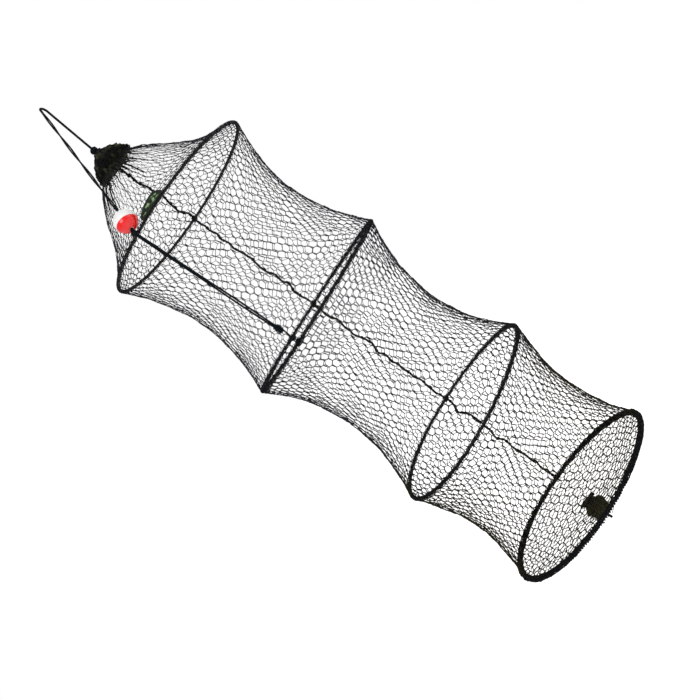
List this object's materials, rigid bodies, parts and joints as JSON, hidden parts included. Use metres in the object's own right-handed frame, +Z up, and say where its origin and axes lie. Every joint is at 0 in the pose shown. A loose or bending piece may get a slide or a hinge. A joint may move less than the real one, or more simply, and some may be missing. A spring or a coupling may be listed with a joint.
{
  "type": "fishing keepnet",
  "caption": "Tall hanging keepnet of diamond mesh on wire hoops, gathered shut at mouth and bottom, with a ball float on its cord; stores a live catch in water.",
  "frame": {"origin": "the point inside the top of the cord loop where a hook bears", "axes": "+Z up along the hanging net; -Y towards the side with the ball float and the label; +X to the right seen from that side"},
  "size_m": [0.296, 0.3045, 1.031],
  "materials": {
    "coated_steel_wire": "dark plastic-coated steel wire",
    "knotted_nylon_net": "near-black green knotted nylon mesh",
    "bunched_nylon_net": "near-black olive net, bunched in pleats",
    "twisted_nylon_twine": "twisted near-black nylon twine",
    "olive_lacing_twine": "twisted olive-black nylon twine",
    "braided_cord": "dark teal braided cord",
    "gloss_white_plastic": "gloss white moulded plastic",
    "gloss_red_plastic": "gloss red moulded plastic",
    "moulded_bore_plastic": "plain off-white moulded plastic",
    "woven_label": "dark green woven tape"
  },
  "bodies": {
    "mouth": {"mouth_gather": "bunched_nylon_net", "drawstring": "braided_cord", "mouth_knot": "braided_cord", "hanger_cord": "braided_cord", "mouth_net": "knotted_nylon_net", "float_cord": "braided_cord", "seam_lacing_1": "olive_lacing_twine"},
    "ring_1": {"hoop_1": "coated_steel_wire", "lashing_1": "twisted_nylon_twine", "hitch_knot": "braided_cord", "label": "woven_label", "seam_tie_1": "olive_lacing_twine", "bay_net_1": "knotted_nylon_net", "lower_cord_left": "braided_cord", "lower_cord_right": "braided_cord", "seam_lacing_2": "olive_lacing_twine"},
    "ring_2": {"hoop_2": "coated_steel_wire", "lashing_2": "twisted_nylon_twine", "end_knot": "braided_cord", "hoop_tie": "twisted_nylon_twine", "tie_strand": "twisted_nylon_twine", "seam_tie_2": "olive_lacing_twine", "bay_net_2": "knotted_nylon_net", "seam_lacing_3": "olive_lacing_twine"},
    "ring_3": {"hoop_3": "coated_steel_wire", "lashing_3": "twisted_nylon_twine", "seam_tie_3": "olive_lacing_twine", "bay_net_3": "knotted_nylon_net", "seam_lacing_4": "olive_lacing_twine"},
    "ring_4": {"hoop_4": "coated_steel_wire", "lashing_4": "twisted_nylon_twine", "seam_tie_4": "olive_lacing_twine", "bottom_net": "knotted_nylon_net", "bottom_gather": "bunched_nylon_net", "bottom_tie": "twisted_nylon_twine", "bottom_tail": "twisted_nylon_twine"},
    "float": {"float_white_shell": "gloss_white_plastic", "float_red_shell": "gloss_red_plastic", "float_bore_tube": "moulded_bore_plastic"}
  },
  "joints": [
    {"name": "ring_1_lift", "type": "slide", "parent": "mouth", "child": "ring_1", "axis": [0, 0, 1], "range_m": [0, 0.1], "deforming": ["mouth_net", "float_cord", "seam_lacing_1"]},
    {"name": "ring_2_lift", "type": "slide", "parent": "ring_1", "child": "ring_2", "axis": [0, 0, 1], "range_m": [0, 0.205], "deforming": ["bay_net_1", "lower_cord_left", "lower_cord_right", "seam_lacing_2"]},
    {"name": "ring_3_lift", "type": "slide", "parent": "ring_2", "child": "ring_3", "axis": [0, 0, 1], "range_m": [0, 0.235], "deforming": ["bay_net_2", "seam_lacing_3"]},
    {"name": "ring_4_lift", "type": "slide", "parent": "ring_3", "child": "ring_4", "axis": [0, 0, 1], "range_m": [0, 0.185], "deforming": ["bay_net_3", "seam_lacing_4"]},
    {"name": "float_slide", "type": "slide", "parent": "ring_1", "child": "float", "axis": [0.2084, 0.5131, 0.8326], "range_m": [0, 0.06]}
  ]
}
